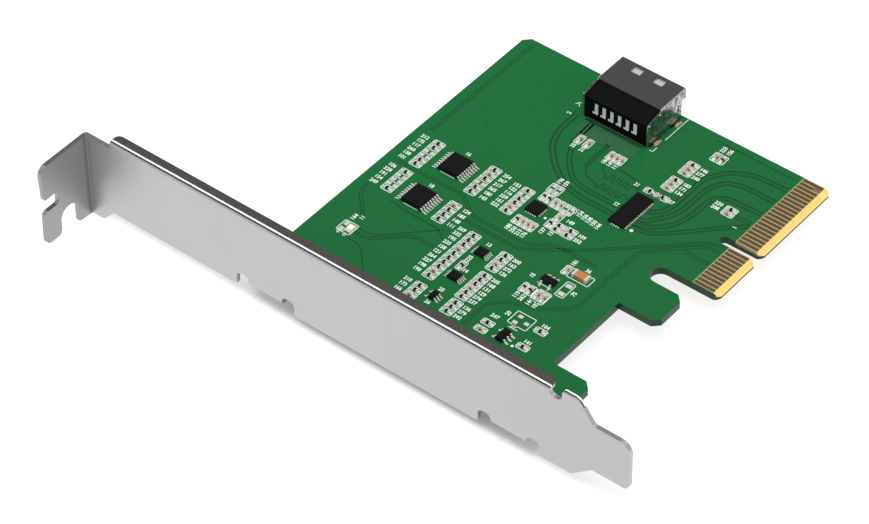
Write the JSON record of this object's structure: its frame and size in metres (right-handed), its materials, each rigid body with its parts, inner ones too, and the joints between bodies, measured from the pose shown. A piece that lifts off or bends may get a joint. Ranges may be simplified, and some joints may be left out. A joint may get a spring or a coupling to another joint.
{
  "type": "interface card",
  "caption": "Computer interface card: green board with gold card edge, shielded cable receptacle at the far edge and a full-height folded steel bracket.",
  "frame": {"origin": "centre of the bounding box's underside, with the card lying component side up", "axes": "+X from the bracket towards the board's far edge, +Y from the contact edge up to the screw tab, +Z out of the component side"},
  "size_m": [0.0936, 0.1214, 0.0213],
  "materials": {
    "solder_mask": "satin green mask over glass-fibre laminate",
    "plated_steel": "satin plated sheet steel",
    "screw_steel": "plated screw steel",
    "gold": "gold plating",
    "shell_steel": "bright rolled sheet",
    "black_moulding": "black moulded plastic",
    "tinned_metal": "bright tin plating",
    "chip_moulding": "matt black epoxy",
    "resistor_coat": "black coat on ceramic",
    "tan_ceramic": "tan ceramic",
    "lamp_white": "white resin"
  },
  "bodies": {
    "root": {"circuit_board": "solder_mask", "bracket": "plated_steel", "bracket_screw_low": "screw_steel", "bracket_screw_high": "screw_steel", "edge_contacts_component_side": "gold", "edge_contacts_solder_side": "gold", "receptacle_shell": "shell_steel", "receptacle_housing": "black_moulding", "receptacle_upper_springs": "gold", "receptacle_lower_springs": "gold", "receptacle_tails": "tinned_metal", "receptacle_rear_posts": "tinned_metal", "upper_chip_body": "chip_moulding", "upper_chip_leads": "tinned_metal", "lower_chip_body": "chip_moulding", "lower_chip_leads": "tinned_metal", "long_chip_body": "chip_moulding", "long_chip_pads": "tinned_metal", "square_chip_body": "chip_moulding", "square_chip_pads": "tinned_metal", "small_chip_bodies": "chip_moulding", "small_chip_leads": "tinned_metal", "regulator_bodies": "chip_moulding", "regulator_leads": "tinned_metal", "resistor_bodies": "resistor_coat", "resistor_ends": "tinned_metal", "capacitor_bodies": "tan_ceramic", "capacitor_ends": "tinned_metal", "large_capacitor_body": "tan_ceramic", "large_capacitor_ends": "tinned_metal", "indicator_lamp_body": "lamp_white", "indicator_lamp_ends": "tinned_metal"}
  },
  "joints": []
}
